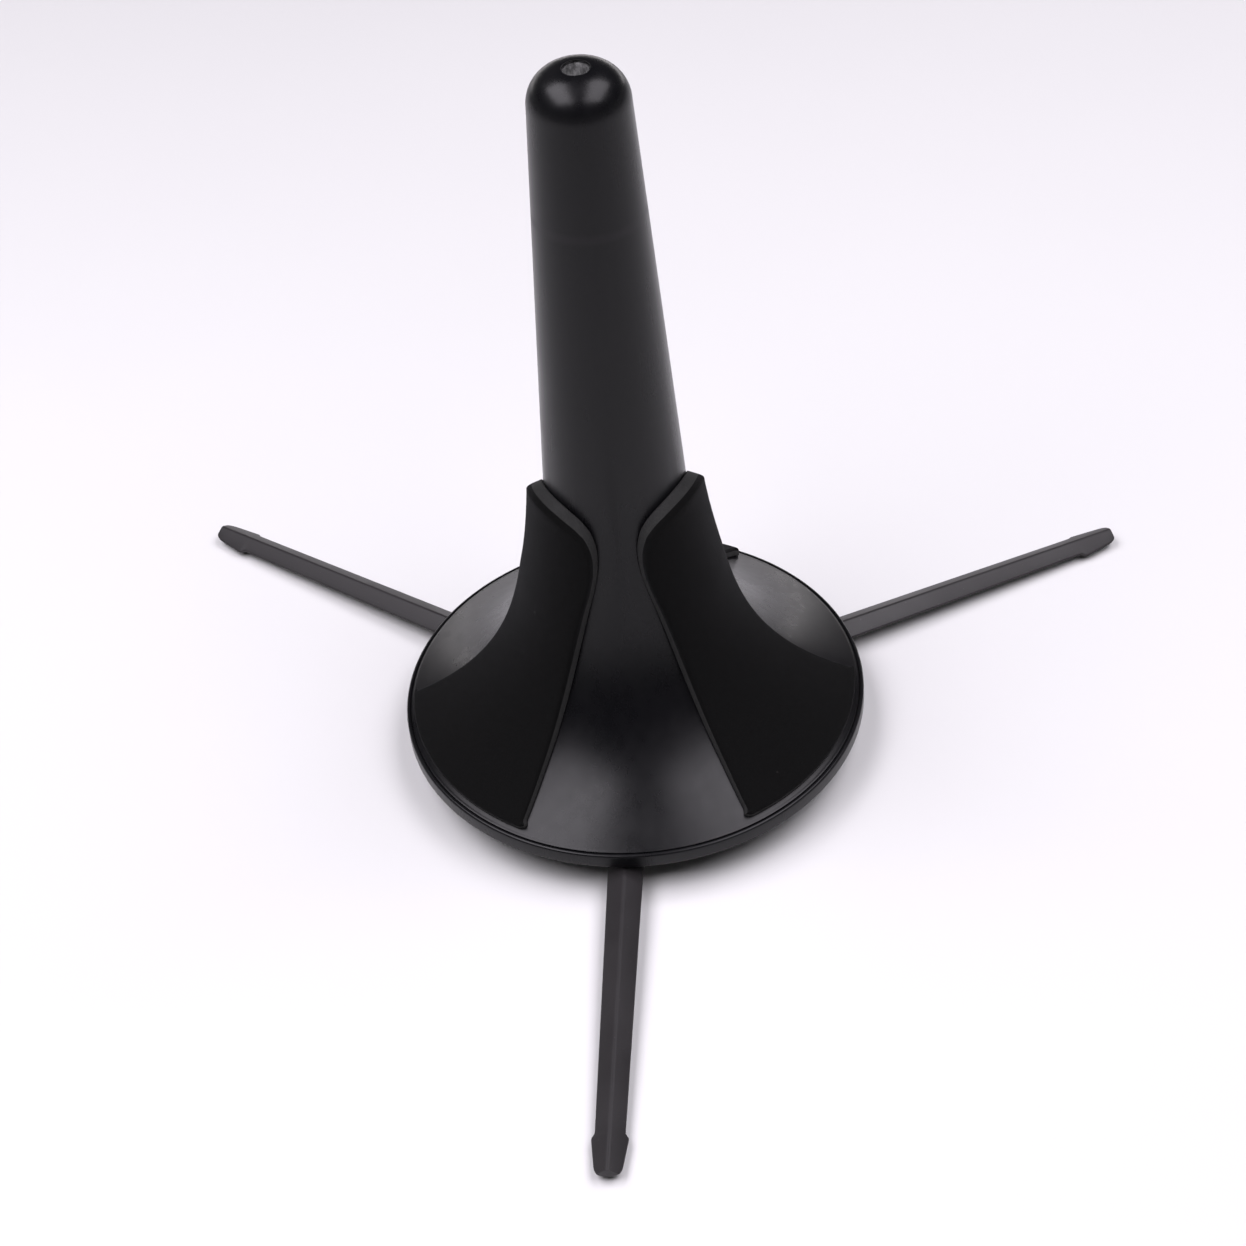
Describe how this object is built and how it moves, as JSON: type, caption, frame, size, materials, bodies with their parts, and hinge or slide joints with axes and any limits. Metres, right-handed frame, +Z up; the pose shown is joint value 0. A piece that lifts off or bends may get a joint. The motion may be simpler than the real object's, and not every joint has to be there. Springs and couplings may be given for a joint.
{
  "type": "folding trumpet stand",
  "caption": "Folding stand for a trumpet: a hollow tapered peg with a flared skirt and velvet pads plugs onto a round hub whose hinged legs spread under the skirt and fold up together.",
  "frame": {"origin": "on the peg's axis, in the flat underside of the hub, which is level with the surface the stand rests on", "axes": "+Z up the peg's axis; -Y towards the front, with one leg 6 degrees clockwise of it as seen from above; +X to the right"},
  "size_m": [0.2368, 0.2238, 0.1859],
  "materials": {
    "shell_plastic": "satin black moulded plastic",
    "leg_plastic": "dark grey moulded plastic",
    "pad_foam": "dense black foam",
    "velvet": "short black velvet",
    "steel": "plain steel"
  },
  "bodies": {
    "hub": {"hub_body": "shell_plastic", "hub_cover": "shell_plastic", "cover_screw_right": "steel", "cover_screw_back": "steel", "cover_screw_left": "steel", "hinge_pin_front": "steel", "hinge_pin_right": "steel", "hinge_pin_left": "steel"},
    "peg": {"peg_shell": "shell_plastic", "pad_core_right": "pad_foam", "pad_core_back": "pad_foam", "pad_core_left": "pad_foam", "pad_velvet_right": "velvet", "pad_velvet_back": "velvet", "pad_velvet_left": "velvet"},
    "leg_front": {"leg_front": "leg_plastic"},
    "leg_right": {"leg_right": "leg_plastic"},
    "leg_left": {"leg_left": "leg_plastic"}
  },
  "joints": [
    {"name": "peg_lift", "type": "slide", "parent": "hub", "child": "peg", "axis": [0, 0, 1], "range_m": [0, 0.2]},
    {"name": "leg_front_fold", "type": "hinge", "parent": "hub", "child": "leg_front", "pos_m": [-0.0006, -0.00557, 0.0046], "axis": [-0.9943, 0.1063, 0], "range_deg": [0, 92.5]},
    {"name": "leg_right_fold", "type": "hinge", "parent": "hub", "child": "leg_right", "pos_m": [0.00519, 0.0021, 0.0046], "axis": [0.3746, -0.9272, 0], "range_deg": [0, 92.5]},
    {"name": "leg_left_fold", "type": "hinge", "parent": "hub", "child": "leg_left", "pos_m": [-0.00438, 0.00349, 0.0046], "axis": [0.6225, 0.7826, 0], "range_deg": [0, 92.5]}
  ],
  "couplings": [
    {"joint": "leg_front_fold", "follows": "peg_lift", "rad_per_m": 8.07},
    {"joint": "leg_right_fold", "follows": "peg_lift", "rad_per_m": 8.07},
    {"joint": "leg_left_fold", "follows": "peg_lift", "rad_per_m": 8.07}
  ]
}
